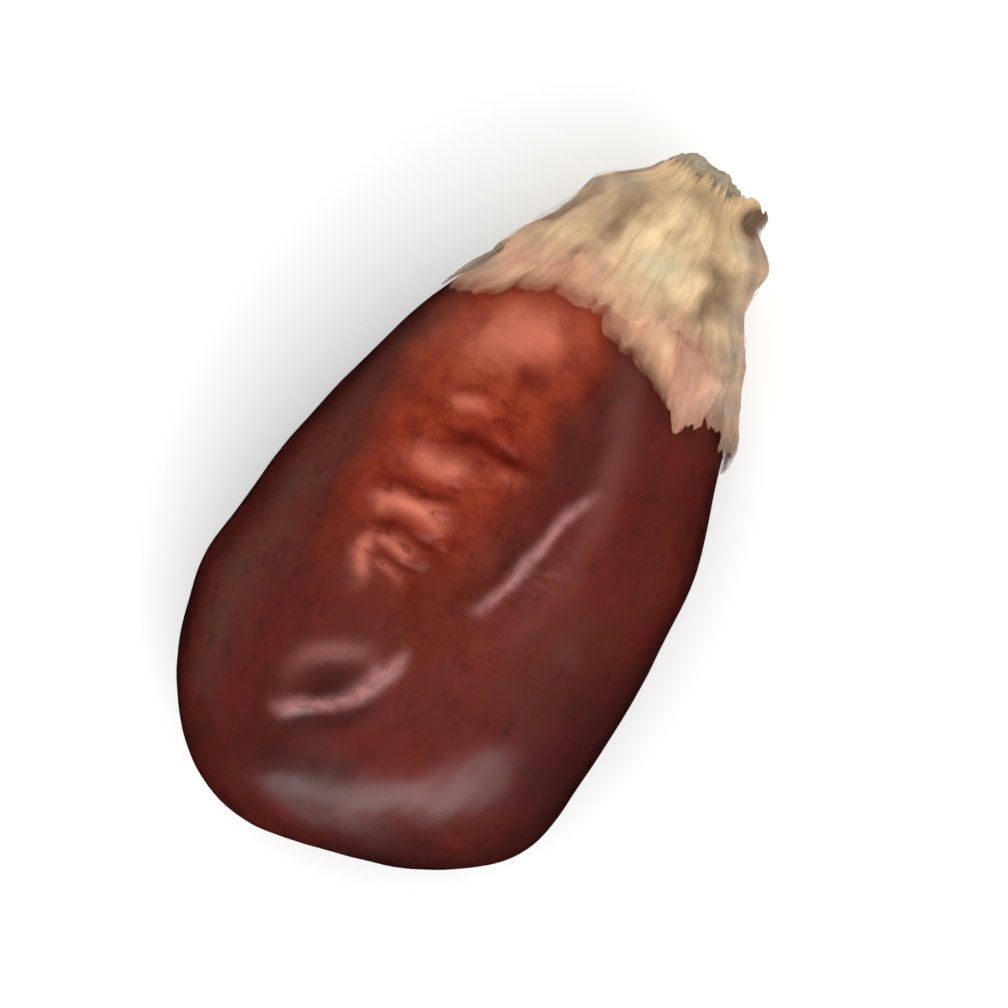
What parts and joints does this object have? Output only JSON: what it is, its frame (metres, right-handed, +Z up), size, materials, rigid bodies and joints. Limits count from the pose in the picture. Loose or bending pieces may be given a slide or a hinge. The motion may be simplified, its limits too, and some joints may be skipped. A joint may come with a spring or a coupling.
{
  "type": "corn kernel",
  "caption": "Dried dark red corn kernel lying germ side up: a teardrop grain with a shallow germ hollow, and papery straw-coloured chaff clasping its narrow tip.",
  "frame": {"origin": "bottom centre of the kernel's box, on the level of its flat resting face", "axes": "+Y from the round crown to the pointed tip, +Z up out of the germ side"},
  "size_m": [0.007, 0.0126, 0.0047],
  "materials": {
    "seed_coat": "hard, smooth and half glossy seed coat, dark maroon, redder over the germ",
    "stalk": "dry torn fibre, dull tan",
    "lower_glume_chaff": "dry papery chaff, matt straw colour, finely ribbed",
    "upper_glume_chaff": "dry papery chaff, matt pale straw colour, finely ribbed",
    "lemma_chaff": "thin dry chaff, matt pinkish tan",
    "palea_chaff": "very thin dry chaff, matt pinkish straw colour"
  },
  "bodies": {
    "root": {"grain": "seed_coat", "pedicel": "stalk", "lower_glume": "lower_glume_chaff", "upper_glume": "upper_glume_chaff", "lemma": "lemma_chaff", "palea": "palea_chaff"}
  },
  "joints": []
}
